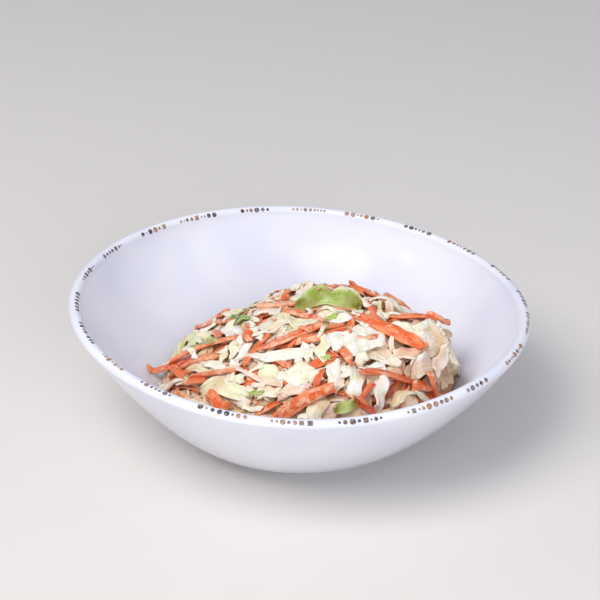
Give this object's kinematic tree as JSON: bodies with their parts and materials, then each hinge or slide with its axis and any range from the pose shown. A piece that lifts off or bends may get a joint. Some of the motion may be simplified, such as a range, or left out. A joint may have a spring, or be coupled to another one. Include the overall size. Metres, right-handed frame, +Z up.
{
  "type": "bowl of coleslaw",
  "caption": "Creamy coleslaw of cabbage flakes, carrot strips and green leaf, mounded in a round white glazed bowl with a gently waving rim.",
  "frame": {"origin": "on the table under the middle of the rim's bounding box", "axes": "+Z up, -Y towards the viewer of the picture, +X to the viewer's right"},
  "size_m": [0.21, 0.21, 0.0677],
  "materials": {
    "glaze": "glossy bluish white glaze",
    "slaw": "moist, creamy"
  },
  "bodies": {
    "root": {"bowl": "glaze", "slaw": "slaw"}
  },
  "joints": []
}
